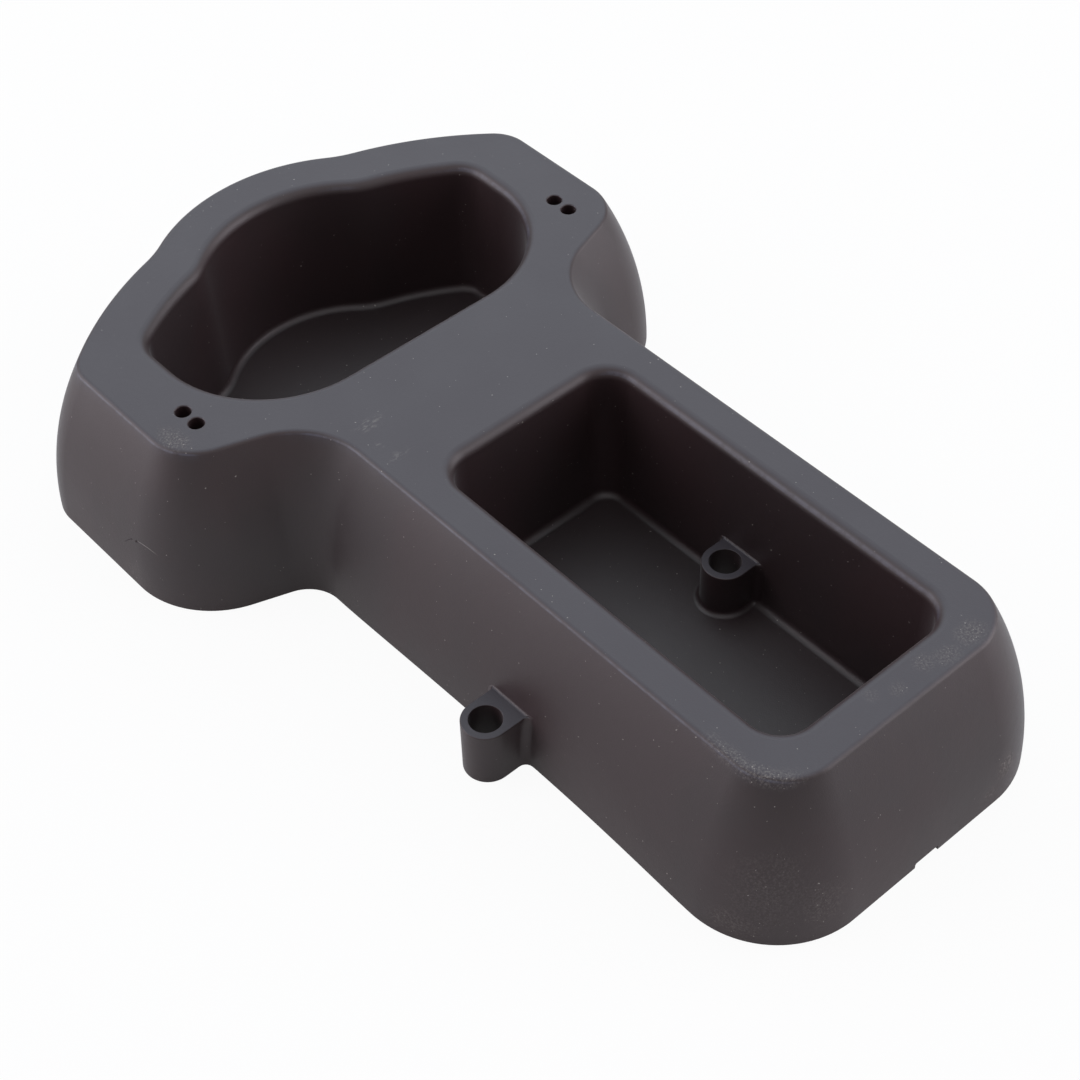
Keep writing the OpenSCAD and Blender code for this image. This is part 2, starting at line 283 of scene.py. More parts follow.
foot_plan = point_plan(foot_run, draw_total)
moulding = loft("riser_base_moulding", wall_rings(outer_profile, foot_plan))
print("outer wall:", len(moulding.data.polygons), "faces")

# %% [markdown]
# ## Cutting and joining
# The pockets, the hollow underside and the bosses are solids of their own that are cut
# out of the block or joined to it, as the halves of a mould do it. A Boolean modifier
# does this. Its Manifold solver is the right one here, because every tool is closed,
# and it keeps thin slivers out of the long tangent meetings.

# %% Boolean steps
import bmesh


def volume(solid):
    """Volume of a closed mesh in cubic centimetres, while it is still in millimetres."""
    measured = bmesh.new()
    measured.from_mesh(solid.data)
    cubic_cm = measured.calc_volume() / 1000
    measured.free()
    return cubic_cm


def combine(solid, tool, operation):
    """Cuts the tool out of the solid, joins it, or keeps what both share."""
    step = solid.modifiers.new("combine", "BOOLEAN")
    step.operation = operation
    step.solver = "MANIFOLD"
    step.object = tool
    current = bpy.context.evaluated_depsgraph_get()
    made = bpy.data.meshes.new_from_object(solid.evaluated_get(current))
    solid.modifiers.clear()
    before = solid.data
    solid.data = made
    bpy.data.meshes.remove(before)
    bpy.data.objects.remove(tool)


def cut(solid, tool):
    """Takes the tool's space out of the solid."""
    combine(solid, tool, "DIFFERENCE")


def join(solid, tool):
    """Makes the tool one with the solid."""
    combine(solid, tool, "UNION")


def slab(name, low, high):
    """Block between two opposite corners."""
    ring = [(low[0], low[1]), (high[0], low[1]), (high[0], high[1]), (low[0], high[1])]
    return loft(name, [[(x, y, z) for x, y in ring] for z in (low[2], high[2])])


# %% [markdown]
# ## The two pockets
# Each pocket has drafted walls, so that the moulding leaves its mould, a rounded floor
# edge and a soft rim. One profile serves both: floor radius, wall, rim radius. It is
# lofted along the mouth of the head pocket, which follows the head's own outline, and
# along the plain rectangle of the body pocket.

# %% Pocket profile
floor_t = 4.5
pocket_draft = radians(2.6)
rim_r, floor_r = 5, 3.5
rim_steps, floor_steps = 10, 8
overlap = 0.02
fillet_set = (1 - sin(pocket_draft)) / cos(pocket_draft)


def drafted(z):
    """Move of a pocket wall at height z, measured from the deck."""
    return -(height - z) * tan(pocket_draft)


floor_edge = [
    (drafted(floor_t) - floor_r * (fillet_set - cos(a)), floor_t + floor_r * (1 - sin(a)))
    for a in even_steps(pi / 2, pocket_draft, floor_steps)
]
rim = [
    (rim_r * (fillet_set - cos(a)), height - rim_r * (1 - sin(a)) + overlap * sin(a))
    for a in even_steps(pocket_draft, pi / 2, rim_steps)
]
pocket_profile = floor_edge + rim + [(rim_r * fillet_set, height + past)]
print("levels in the wall of a pocket:", len(pocket_profile))

# %% Mouths of the pockets
head_pocket_bump_r, head_pocket_arc_r, head_pocket_kink_r = 57.4, 141, 28
head_pocket_half, head_pocket_corner_r = 84.2, 14
head_pocket_end_r, head_pocket_x = 49, 65.2
body_pocket_start, body_pocket_end = -0.3, 176
body_pocket_half, body_pocket_corner_r = 42.9, 13


def head_pocket_side(side):
    """Mouth of the head pocket on one side, from the end bump to the body side."""
    end_y = side * (head_pocket_half - head_pocket_end_r)
    return [
        (-bump_x, 0, head_pocket_bump_r),
        between(end_arc_x, head_pocket_arc_r, bump_x, head_pocket_bump_r, head_pocket_kink_r, side),
        (-end_arc_x, 0, head_pocket_arc_r),
        corner_in(end_arc_x, head_pocket_arc_r, head_pocket_half, head_pocket_corner_r, side),
        (-head_pocket_x - head_pocket_end_r, end_y, head_pocket_end_r),
    ]


def rectangle_run(x0, x1, half, corner_r):
    """Rectangle with four round corners, anticlockwise."""
    low, high = x0 + corner_r, x1 - corner_r
    across = half - corner_r
    return [(x, y, corner_r) for x, y in ((low, -across), (high, -across), (high, across), (low, across))]


def upright_rings(run, profile, plan):
    """Level rings of a wall along an outline."""
    return [[(x, y, z) for x, y in trace(run, plan, grow)] for grow, z in profile]


head_pocket_run = both_halves(head_pocket_side)
body_pocket_run = rectangle_run(body_pocket_start, body_pocket_end, body_pocket_half, body_pocket_corner_r)
pocket_plans = [(run, point_plan(run)) for run in (head_pocket_run, body_pocket_run)]
print("corners of the two mouths:", len(head_pocket_run), "and", len(body_pocket_run))

# %% [markdown]
# ## The hollow underside
# Such mouldings have one wall thickness all over, so the space under the deck is the
# outer wall's shape once more, one thickness further in. What stays in it are the walls
# of the pockets, the ribs that stiffen the deck and a pillar round each screw hole. It
# is made as a mould core: the core is lofted, the ribs and pillars are cut into it, and
# the core is then cut out of the block.

# %% The core under the deck
wall_t = 4.8
hollow_steps = 12
hollow_heights = even_steps(-2 * past, height - wall_t, hollow_steps)
hollow_profile = [(drawn_in(z, dome_r - wall_t), z) for z in hollow_heights]
core = loft("core", wall_rings(hollow_profile, foot_plan))
for run, plan in pocket_plans:
    shell_profile = [(wall_t + drafted(z), z) for z in (-3 * past, height)]
    cut(core, loft("pocket_shell", upright_rings(run, shell_profile, plan)))
print("core beside the pockets:", round(volume(core)), "cubic cm")

# %% Ribs and screw pillars
rib_t, rib_lift, rib_y = 3, 1.5, 28
screw_r, screw_pitch, screw_span, screw_x = 3.2, 8.8, 190.6, 86.1
screw_depth, screw_wall = 32, 3.6
cross_rib_places = (-160, -124, -screw_x, -42, 20, 56, 92, 130, 166)
bore_points = 72


def turned(name, x, y, profile):
    """Solid turned about an upright axis from a list of radius and height."""
    around = [2 * pi * k / bore_points for k in range(bore_points)]
    return loft(name, [[(x + r * cos(a), y + r * sin(a), z) for a in around] for r, z in profile])


for x in cross_rib_places:
    cut(core, slab("cross_rib", (x - rib_t / 2, -head_half, rib_lift), (x + rib_t / 2, head_half, height)))
for y in (-rib_y, rib_y):
    cut(core, slab("long_rib", (-tail_reach, y - rib_t / 2, rib_lift), (tail_reach, y + rib_t / 2, height)))

pillar_r = screw_r + screw_wall
pillar_foot = height - screw_depth
screw_places = [
    (-screw_x + end * screw_pitch / 2, side * screw_span / 2)
    for side in (-1, 1)
    for end in (-1, 1)
]
for x, y in screw_places:
    cut(core, turned("screw_pillar", x, y, [(pillar_r, pillar_foot), (pillar_r, height)]))
for side in (-1, 1):
    y = side * screw_span / 2
    low = (-screw_x - screw_pitch / 2, y - pillar_r, pillar_foot)
    high = (-screw_x + screw_pitch / 2, y + pillar_r, height)
    cut(core, slab("pillar_web", low, high))

cut(moulding, core)
for run, plan in pocket_plans:
    cut(moulding, loft("pocket", upright_rings(run, pocket_profile, plan)))
print("moulding without its bosses:", round(volume(moulding)), "cubic cm")

# %% [markdown]
# ## The anchor bosses
# A boss is a round column that grows out of a wall: its front is round, hollow webs lead
# into the wall on both sides, and a small hollow corner runs along the back of its flat
# top. The one in the pocket also has a hollow foot. A cylinder joined to the wall would
# meet it in a hard line, so each boss is a loft whose outline follows the leaning wall
# from level to level. Near the top its webs close in to the size of the hollow corner.

# %% Outline and profile of a boss
boss_r, boss_top, boss_edge = 9.4, 25, 0.5
boss_web_r, boss_back_r = 3.5, 1.2
boss_draft = radians(0.25)
web_run, web_sink = 1.8, 0.08
boss_steps = 6


def web_size(z):
    """Radius of the hollow webs at height z: full below, closing in towards the top."""
    left = max(0, min(1, (boss_top - z) / boss_web_r))
    return boss_back_r + (boss_web_r - boss_back_r) * sqrt(1 - (1 - left) ** 2)


def boss_run(x, y, wall_y, spread, web_r):
    """Outline of a boss, spread by the given amount, against a wall at wall_y."""
    front = boss_r + spread
    web_x = front + web_r
    half = [
        (web_x, wall_y - web_r, -web_r),
        (web_x + web_run, wall_y + web_sink, 0),
        (web_x + web_run, wall_y + wall_t / 2, 0),
    ]
    right = [(x + a, b, r) for a, b, r in half]
    left = [(x - a, b, r) for a, b, r in half[::-1]]
    return [(x, y, front)] + right + left


def boss_profile(z0, foot_r):
    """Spread and height of each level: hollow foot, upright wall, rounded top edge."""
    levels = []
    if foot_r:
        levels.append((foot_r, z0 - past))
        hollow = even_steps(0, pi / 2, boss_steps)
        levels += [(foot_r * (1 - sin(a)), z0 + foot_r * (1 - cos(a))) for a in hollow]
    else:
        levels.append((0, z0))
    low = levels[-1][1]
    rise = boss_top - boss_web_r - low
    levels += [(0, low + rise * k / boss_steps) for k in range(1, boss_steps + 1)]
    closing = boss_web_r - boss_edge
    levels += [(0, boss_top - boss_web_r + closing * k / boss_steps) for k in range(1, boss_steps + 1)]
    rounding = even_steps(0, pi / 2, edge_steps)[1:]
    levels += [(-boss_edge * (1 - cos(a)), boss_top - boss_edge * (1 - sin(a))) for a in rounding]
    return levels


# %% Back of a boss
def boss_back(x, y, wall_at):
    """Hollow corner between the flat top of a boss and the leaning wall behind it."""
    wall_y = wall_at(boss_top)
    lean = atan(wall_at(boss_top + 1) - wall_y)
    centre_y = wall_y + boss_back_r * (tan(lean) - 1 / cos(lean))
    centre_z = boss_top + boss_back_r
    reach = boss_back_r + overlap
    hollow = [
        (centre_y + reach * sin(a), centre_z - reach * cos(a))
        for a in even_steps(0, pi / 2 - lean, boss_steps)
    ]
    behind = wall_y + past
    sunk = boss_top - boss_edge
    section = hollow + [(behind, hollow[-1][1]), (behind, sunk), (hollow[0][0], sunk)]
    far = boss_r + 2 * boss_web_r
    strip = loft("back", [[(x + end, b, c) for b, c in section[::-1]] for end in (-far, far)])
    run = boss_run(x, y, wall_y, -boss_edge, boss_back_r)
    plan = point_plan(run)
    column = [[(a, b, c) for a, b in trace(run, plan)] for c in (boss_top - past, boss_top + 3 * past)]
    combine(strip, loft("column", column), "INTERSECT")
    return strip


# %% The two bosses
anchor_bore_r = 6.35
outer_boss_x, outer_boss_y = 73.7, -85.7
pocket_boss_x, pocket_boss_y = 77.5, 32
boss_foot_r = 2.5


def anchor_boss(name, x, y, z0, foot_r, wall_at):
    """Boss on height z0 against a wall whose face is at wall_at(z)."""
    rings = []
    plan = None
    for grow, z in boss_profile(z0, foot_r):
        run = boss_run(x, y, wall_at(z), grow + (boss_top - z) * tan(boss_draft), web_size(z))
        plan = plan or point_plan(run)
        rings.append([(a, b, z) for a, b in trace(run, plan)])
    return loft(name, rings)


def near_wall(z):
    """Face of the body's near wall beside the outside boss."""
    return -body_half - drawn_in(z) + bow(outer_boss_x, z)


def pocket_wall(z):
    """Face of the far wall of the body pocket."""
    return body_pocket_half + drafted(z)


join(moulding, anchor_boss("outer_boss", outer_boss_x, outer_boss_y, -past, 0, near_wall))
join(moulding, anchor_boss("pocket_boss", pocket_boss_x, pocket_boss_y, floor_t, boss_foot_r, pocket_wall))
join(moulding, boss_back(outer_boss_x, outer_boss_y, near_wall))
join(moulding, boss_back(pocket_boss_x, pocket_boss_y, pocket_wall))
print("moulding with its bosses:", round(volume(moulding)), "cubic cm")

# %% [markdown]
# ## Bores, screw holes and drain notch
# All holes get a slightly rounded mouth, because it is that soft edge that catches the
# light in the real part. The cutters are turned profiles that flare out at the top. The
# drain notch goes through the foot of the tail wall.

# %% Holes with rounded mouths
bore_edge, screw_edge = 0.2, 0.6
mouth_steps = 5


def hole(x, y, r, low, top, mouth):
    """Cutter for a hole with a rounded mouth."""
    rounding = even_steps(0, pi / 2, mouth_steps)
    flare = [(r + mouth * (1 - cos(a)), top - mouth * (1 - sin(a))) for a in rounding]
    return turned("hole", x, y, [(r, low)] + flare + [(r + mouth, top + past)])


anchor_places = [(outer_boss_x, outer_boss_y), (pocket_boss_x, pocket_boss_y)]
for x, y in anchor_places:
    cut(moulding, hole(x, y, anchor_bore_r, -2 * past, boss_top, bore_edge))
for x, y in screw_places:
    cut(moulding, hole(x, y, screw_r, pillar_foot - past, height, screw_edge))
print("anchor bores:", len(anchor_places), "screw holes:", len(screw_places))

# %% Drain notch and foot
notch_w, notch_h, notch_r = 12, 2.4, 0.8
corner_steps = 5


def notch_section():
    """Notch seen along the body, anticlockwise, running past the foot."""
    corner_y, corner_z = notch_w / 2 - notch_r, notch_h - notch_r
    section = [(-notch_w / 2, -past), (notch_w / 2, -past)]
    for side, start in ((1, 0), (-1, pi / 2)):
        for a in even_steps(start, start + pi / 2, corner_steps):
            section.append((side * corner_y + notch_r * cos(a), corner_z + notch_r * sin(a)))
    return section


notch_ends = (tail_reach - wall_t - past, tail_reach + past)
cut(moulding, loft("drain_notch", [[(x, y, z) for y, z in notch_section()] for x in notch_ends]))
wide = tail_reach + 3 * past
cut(moulding, slab("below_floor", (-wide, -wide, -4 * past), (wide, wide, 0)))
print("drain notch:", notch_w, "mm wide,", notch_h, "mm high")

# %% [markdown]
# ## The dent on the head
# The head's near wall has a small dent, a smaller one beside it, and a curved scratch
# through both. They are only a millimetre or two wide, but a bump map would leave them
# without the dark bottom that shows them, so they are cut as well.

# %% Dents and curved scratch
scratch_x, scratch_z, scratch_r = -81, 9.9, 15.9
scratch_from, scratch_to = radians(145), radians(76)
scratch_steps, scratch_half_w, scratch_deep = 24, 0.22, 0.3
dents = [(-85.8, 24.8, 0.85, 0.9), (-89.4, 23.7, 0.55, 0.45)]
dent_points = 16


def head_wall(x, z):
    """Face of the head's near wall beside its shoulder."""
    past_corner = max(0, x + shoulder_x)
    return shoulder_r - head_half - sqrt((shoulder_r + drawn_in(z)) ** 2 - past_corner ** 2)


def scratch_ring(share):
    """Section of the scratch at one share of its length, finer towards both ends."""
    a = scratch_from + (scratch_to - scratch_from) * share
    x, z = scratch_x + scratch_r * cos(a), scratch_z + scratch_r * sin(a)
    y = head_wall(x, z)
    size = sqrt(sin(pi * (0.04 + 0.92 * share)))
    across_x, across_z = scratch_half_w * size * cos(a), scratch_half_w * size * sin(a)
    return [
        (x + across_x, y, z + across_z),
        (x, y - past / 2, z),
        (x - across_x, y, z - across_z),
        (x, y + scratch_deep * size, z),
    ]


def dent_ring(x, y, z, r):
    """Uneven round section of a dent, upright in the wall."""
    points = []
    for k in range(dent_points, 0, -1):
        a = 2 * pi * k / dent_points
        uneven = r * (1 + 0.22 * sin(2 * a + 1) + 0.12 * cos(3 * a))
        points.append((x + uneven * cos(a), y, z + uneven * sin(a)))
    return points


cut(moulding, loft("scratch", [scratch_ring(k / scratch_steps) for k in range(scratch_steps + 1)]))
for x, z, r, deep in dents:
    face = head_wall(x, z)
    stages = [(-past / 2, 1.35), (0, 1), (0.6 * deep, 0.7), (deep, 0.25)]
    cut(moulding, loft("dent", [dent_ring(x, face + inward, z, r * share) for inward, share in stages]))
print("finished moulding:", round(volume(moulding)), "cubic cm,", len(moulding.data.polygons), "faces")

# %% [markdown]
# ## From drawing to scene
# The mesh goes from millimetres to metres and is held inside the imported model's box,
# whose flats lie a few hundredths of a millimetre inside the true curves. Smooth shading
# with face-weighted normals keeps the deck and floors dead flat beside their radii. Only
# edges that are sharp on the real part, such as the rim of the foot, are marked sharp.

# %% Scale, box and shading
from mathutils import Matrix, Vector

sharp_from = radians(32)
weld = 2e-6

moulding.data.transform(Matrix.Scale(0.001, 4))
lowest, highest = cad_box
shaped = bmesh.new()
shaped.from_mesh(moulding.data)
for vertex in shaped.verts:
    inside = [max(lowest[i], min(highest[i], vertex.co[i])) for i in range(3)]
    vertex.co = Vector(inside)
bmesh.ops.remove_doubles(shaped, verts=shaped.verts, dist=weld)
bmesh.ops.recalc_face_normals(shaped, faces=shaped.faces)
for line in shaped.edges:
    line.smooth = line.calc_face_angle(0) < sharp_from
for face in shaped.faces:
    face.smooth = True
open_edges = sum(1 for line in shaped.edges if not line.is_manifold)
shaped.to_mesh(moulding.data)
shaped.free()
level = moulding.modifiers.new("flat faces stay flat", "WEIGHTED_NORMAL")
level.keep_sharp = True
level.weight = 100
print("open edges:", open_edges, "vertices:", len(moulding.data.vertices))

# %% [markdown]
# ## Effects for the plastic
# The finish of the real part is a fine, dull mould grain with traces of use: dust specks
# that gather at the corners and brushed marks on the deck. A painted highlight runs along
# the near edge of the deck. The grain, the specks and the soft patches are shader node
# groups with named sockets. Each takes a place on the part in millimetres and gives a mask
# or a height. Painted images would do it too, but they need unwrapping and a fixed
# resolution, and a group can be used again for the next part.

# %% Helpers for node groups
vector_type, number_type = "NodeSocketVector", "NodeSocketFloat"


def new_group(name, inputs, outputs):
    """Node group with named sockets, and its two end nodes."""
    group = bpy.data.node_groups.new(name, "ShaderNodeTree")
    for socket, kind in inputs:
        group.interface.new_socket(socket, in_out="INPUT", socket_type=kind)
    for socket, kind in outputs:
        group.interface.new_socket(socket, in_out="OUTPUT", socket_type=kind)
    return group, group.nodes.new("NodeGroupInput"), group.nodes.new("NodeGroupOutput")


def feed(tree, socket, value):
    """Links another socket to this one, or sets its value."""
    if isinstance(value, bpy.types.NodeSocket):
        tree.links.new(value, socket)
    else:
        socket.default_value = value


def figure(tree, operation, *values, clamp=False):
    """Math node on numbers or sockets."""
    made = tree.nodes.new("ShaderNodeMath")
    made.operation = operation
    made.use_clamp = clamp
    for socket, value in zip(made.inputs, values):
        feed(tree, socket, value)
    return made.outputs[0]


def vector_sum(tree, operation, *values):
    """Vector Math node on vectors or sockets."""
    made = tree.nodes.new("ShaderNodeVectorMath")
    made.operation = operation
    for socket, value in zip(made.inputs, values):
        feed(tree, socket, value)
    return made.outputs["Value" if operation in ("LENGTH", "DOT_PRODUCT") else "Vector"]


def ramp(tree, value, low, high, start=0, end=1):
    """Smooth step of a value from low to high."""
    made = tree.nodes.new("ShaderNodeMapRange")
    made.interpolation_type = "SMOOTHSTEP"
    for socket, number in zip(made.inputs, (value, low, high, start, end)):
        feed(tree, socket, number)
    return made.outputs["Result"]


def noise(tree, place, scale, detail=2.0, roughness=0.5):
    """Noise value between 0 and 1 at a place."""
    made = tree.nodes.new("ShaderNodeTexNoise")
    feed(tree, made.inputs["Vector"], place)
    feed(tree, made.inputs["Scale"], scale)
    made.inputs["Detail"].default_value = detail
    made.inputs["Roughness"].default_value = roughness
    return made.outputs["Fac"]


# %% Mould grain
def build_mould_grain():
    """Grain left by an etched mould: fine height, and slow swells under it."""
    inputs = [("Place", vector_type), ("Grain", number_type), ("Swell", number_type)]
    group, start, end = new_group("mould_grain", inputs, [("Height", number_type), ("Tone", number_type)])
    place = start.outputs["Place"]
    fine = noise(group, place, figure(group, "DIVIDE", 1.0, start.outputs["Grain"]), 3.0, 0.6)
    slow = noise(group, place, figure(group, "DIVIDE", 1.0, start.outputs["Swell"]), 1.0)
    fine_part = figure(group, "MULTIPLY", fine, 0.6)
    slow_part = figure(group, "MULTIPLY", slow, 0.4)
    feed(group, end.inputs["Height"], figure(group, "ADD", fine_part, slow_part))
    feed(group, end.inputs["Tone"], fine)
    return group


mould_grain = build_mould_grain()
print("mould grain:", len(mould_grain.nodes), "nodes")

# %% Dust specks
def build_dust_specks():
    """Separate pale specks. Coverage is the share of cells that hold one."""
    inputs = [
        ("Place", vector_type),
        ("Spacing", number_type),
        ("Largest", number_type),
        ("Coverage", number_type),
    ]
    group, start, end = new_group("dust_specks", inputs, [("Mask", number_type)])
    cells = group.nodes.new("ShaderNodeTexVoronoi")
    wobble = noise(group, start.outputs["Place"], 0.9, 2.0)
    shifted = vector_sum(group, "ADD", start.outputs["Place"], wobble)
    feed(group, cells.inputs["Vector"], shifted)
    feed(group, cells.inputs["Scale"], figure(group, "DIVIDE", 1.0, start.outputs["Spacing"]))
    away = figure(group, "MULTIPLY", cells.outputs["Distance"], start.outputs["Spacing"])
    lots = group.nodes.new("ShaderNodeSeparateColor")
    feed(group, lots.inputs["Color"], cells.outputs["Color"])
    held = figure(group, "LESS_THAN", lots.outputs["Red"], start.outputs["Coverage"])
    mostly_small = figure(group, "POWER", lots.outputs["Green"], 2.0)
    size = figure(group, "MULTIPLY", mostly_small, start.outputs["Largest"])
    size = figure(group, "ADD", size, figure(group, "MULTIPLY", start.outputs["Largest"], 0.25))
    inner = figure(group, "MULTIPLY", size, 0.55)
    spot = figure(group, "SUBTRACT", 1.0, ramp(group, away, inner, size))
    feed(group, end.inputs["Mask"], figure(group, "MULTIPLY", spot, held))
    return group


dust_specks = build_dust_specks()
print("dust specks:", len(dust_specks.nodes), "nodes")

# %% Soft patches
def build_soft_patch():
    """Patch with a ragged border round a middle, 1 inside and 0 beyond its reach."""
    inputs = [("Place", vector_type), ("Middle", vector_type), ("Reach", vector_type)]
    group, start, end = new_group("soft_patch", inputs, [("Mask", number_type)])
    offset = vector_sum(group, "SUBTRACT", start.outputs["Place"], start.outputs["Middle"])
    away = vector_sum(group, "LENGTH", vector_sum(group, "DIVIDE", offset, start.outputs["Reach"]))
    ragged = figure(group, "MULTIPLY", noise(group, start.outputs["Place"], 0.16, 4.0, 0.6), 0.9)
    border = figure(group, "ADD", figure(group, "SUBTRACT", away, 0.45), ragged)
    feed(group, end.inputs["Mask"], figure(group, "SUBTRACT", 1.0, ramp(group, border, 0.25, 1.05)))
    return group


soft_patch = build_soft_patch()
print("soft patch:", len(soft_patch.nodes), "nodes")

# %% [markdown]
# ## The charcoal plastic
# The plastic is nearly black, slightly purple and a little blotchy on the walls, where
# it flowed past the ribs. The faces that look up, the deck above all, are painted a
# lighter, cooler grey, which is painted light from above. A single dark grey would look
# like a drawing, so the tone drifts between a cool and a warm charcoal with painted light
# on top, the grain breaks up the sheen, and the dust lies where it lies on the real part.

# %% Tones of the plastic
def to_light(part):
    """Amount of light behind one part of a screen colour."""
    return part / 12.92 if part <= 0.04045 else ((part + 0.055) / 1.055) ** 2.4


def seen(red, green, blue):
    """Shader colour for a colour as it looks on screen, each part from 0 to 1."""
    return (to_light(red), to_light(green), to_light(blue), 1.0)


cool_tone = seen(0.148, 0.104, 0.110)
warm_tone = seen(0.166, 0.107, 0.114)
# painted light: a lighter, cooler grey for the faces that look up, standing in for light from above
painted_top_light_tone = seen(0.203, 0.186, 0.212)
dark_tone = seen(0.110, 0.075, 0.080)
dust_tone = seen(0.66, 0.64, 0.61)
# pale tone of the painted highlight along the near edge of the deck
edge_highlight_tone = seen(0.34, 0.35, 0.41)
print("cool tone as light:", [round(part, 4) for part in cool_tone[:3]])

charcoal = bpy.data.materials.new("charcoal_plastic")
charcoal.use_nodes = True
plastic = charcoal.node_tree
surface = plastic.nodes["Principled BSDF"]
surface.inputs["IOR"].default_value = 1.54
surface.inputs["Metallic"].default_value = 0.0
surface.inputs["Sheen Weight"].default_value = 0.16
surface.inputs["Sheen Roughness"].default_value = 0.3


def use(group, **values):
    """One of the effect groups in the plastic, with its own values."""
    made = plastic.nodes.new("ShaderNodeGroup")
    made.node_tree = group
    for name, value in values.items():
        feed(plastic, made.inputs[name], value)
    return made


def blend_in(under, over, mask):
    """Colour under another colour that shows where the mask does."""
    made = plastic.nodes.new("ShaderNodeMix")
    made.data_type = "RGBA"
    feed(plastic, made.inputs["Factor"], mask)
    feed(plastic, made.inputs["A"], under)
    feed(plastic, made.inputs["B"], over)
    return made.outputs["Result"]


# %% Places on the part
coordinates = plastic.nodes.new("ShaderNodeTexCoord")
place = vector_sum(plastic, "MULTIPLY", coordinates.outputs["Object"], (1000, 1000, 1000))
parts = plastic.nodes.new("ShaderNodeSeparateXYZ")
feed(plastic, parts.inputs["Vector"], place)
along, across, upward = parts.outputs["X"], parts.outputs["Y"], parts.outputs["Z"]
tilt = plastic.nodes.new("ShaderNodeSeparateXYZ")
feed(plastic, tilt.inputs["Vector"], coordinates.outputs["Normal"])

# 1 on faces that look up, 0 on walls
level_face = ramp(plastic, tilt.outputs["Z"], 0.75, 0.97)

# %% Charcoal that drifts between cool and warm, with painted light on top
drift = noise(plastic, place, 0.013, 3.0, 0.55)
flow = noise(plastic, vector_sum(plastic, "MULTIPLY", place, (0.02, 0.02, 0.006)), 1.0, 2.0)
warmth = ramp(plastic, figure(plastic, "ADD", drift, flow), 0.85, 1.15)
on_walls = figure(plastic, "MULTIPLY", warmth, figure(plastic, "SUBTRACT", 1.0, level_face))
body_colour = blend_in(cool_tone, warm_tone, on_walls)
# painted light from above: faces that look up, above the pocket floors, get the lighter tone
above_floors = ramp(plastic, upward, boss_top - 9, boss_top - 5)
painted_top_light = figure(plastic, "MULTIPLY", level_face, above_floors)
body_colour = blend_in(body_colour, painted_top_light_tone, painted_top_light)
grain = use(mould_grain, Place=place, Grain=0.55, Swell=3.2)
grain_shade = figure(plastic, "MULTIPLY", figure(plastic, "SUBTRACT", grain.outputs["Tone"], 0.5), 0.28)
body_colour = blend_in(body_colour, dark_tone, figure(plastic, "ADD", grain_shade, 0.12, clamp=True))

# %% Where dust lies
# Each place: middle, reach, and how thick the dust lies there
dusty_places = [
    ((187, 40, 70), (7, 9, 4), 0.8),
    ((188, 26, 70), (6, 7, 4), 0.7),
    ((185, 18, 70), (5, 6, 4), 0.6),
    ((187, 3, 70), (4, 5, 4), 0.5),
    ((183, -6, 70), (4, 4, 4), 0.4),
    ((196, -64, 26), (20, 18, 25), 0.3),
    ((186, -72, 8), (17, 8, 9), 0.5),
    ((207, -50, 18), (8, 13, 13), 0.45),
    ((210, 42, 16), (6, 7, 7), 1.0),
    ((211, 33, 8), (4, 4, 4), 0.7),
    ((-80, -107, 70), (10, 6, 4), 0.9),
    ((-89, -130, 7), (9, 6, 7), 0.3),
]


def patches(places):
    """Mask of soft patches, each given by its middle, its reach and its amount."""
    mask = 0.0
    for middle, reach, amount in places:
        patch = use(soft_patch, Place=place, Middle=middle, Reach=reach)
        mask = figure(plastic, "MAXIMUM", mask, figure(plastic, "MULTIPLY", patch.outputs["Mask"], amount))
    return mask


dustiness = patches(dusty_places)
print("dusty places:", len(dusty_places))

# %% Dust that hugs the edge of the near tail corner
edge_r = tail_corner_r - draw_total
past_x = figure(plastic, "MAXIMUM", figure(plastic, "SUBTRACT", along, tail_reach - tail_corner_r), 0.0)
from_middle = figure(plastic, "ABSOLUTE", across)
past_y = figure(plastic, "MAXIMUM", figure(plastic, "SUBTRACT", from_middle, body_half - tail_corner_r), 0.0)
squares = [figure(plastic, "POWER", past_corner, 2.0) for past_corner in (past_x, past_y)]
reach_out = figure(plastic, "SQRT", figure(plastic, "ADD", *squares))
beside_edge = ramp(plastic, reach_out, edge_r - 4.5, edge_r + 0.5)
corner_patch = use(soft_patch, Place=place, Middle=(177, -55, 70), Reach=(25, 15, 4.5))
hugging = figure(plastic, "MULTIPLY", beside_edge, corner_patch.outputs["Mask"])
dustiness = figure(plastic, "MAXIMUM", dustiness, hugging)

# %% Specks and film
sparse, crowded = 0.035, 0.5
speck_strength, film_strength = 0.62, 0.38
fine_share = figure(plastic, "ADD", figure(plastic, "MULTIPLY", dustiness, crowded), sparse)
fine_specks = use(dust_specks, Place=place, Spacing=1.0, Largest=0.25, Coverage=fine_share)
wide_share = figure(plastic, "ADD", figure(plastic, "MULTIPLY", dustiness, 0.3), 0.02)
wide_specks = use(dust_specks, Place=place, Spacing=4.2, Largest=0.55, Coverage=wide_share)
specks = figure(plastic, "MAXIMUM", fine_specks.outputs["Mask"], wide_specks.outputs["Mask"])
film_break = ramp(plastic, noise(plastic, place, 1.1, 5.0, 0.75), 0.42, 0.72)
film = figure(plastic, "MULTIPLY", figure(plastic, "MULTIPLY", dustiness, film_break), film_strength)
dusty_colour = blend_in(body_colour, dust_tone, film)
dusty_colour = blend_in(dusty_colour, dust_tone, figure(plastic, "MULTIPLY", specks, speck_strength))
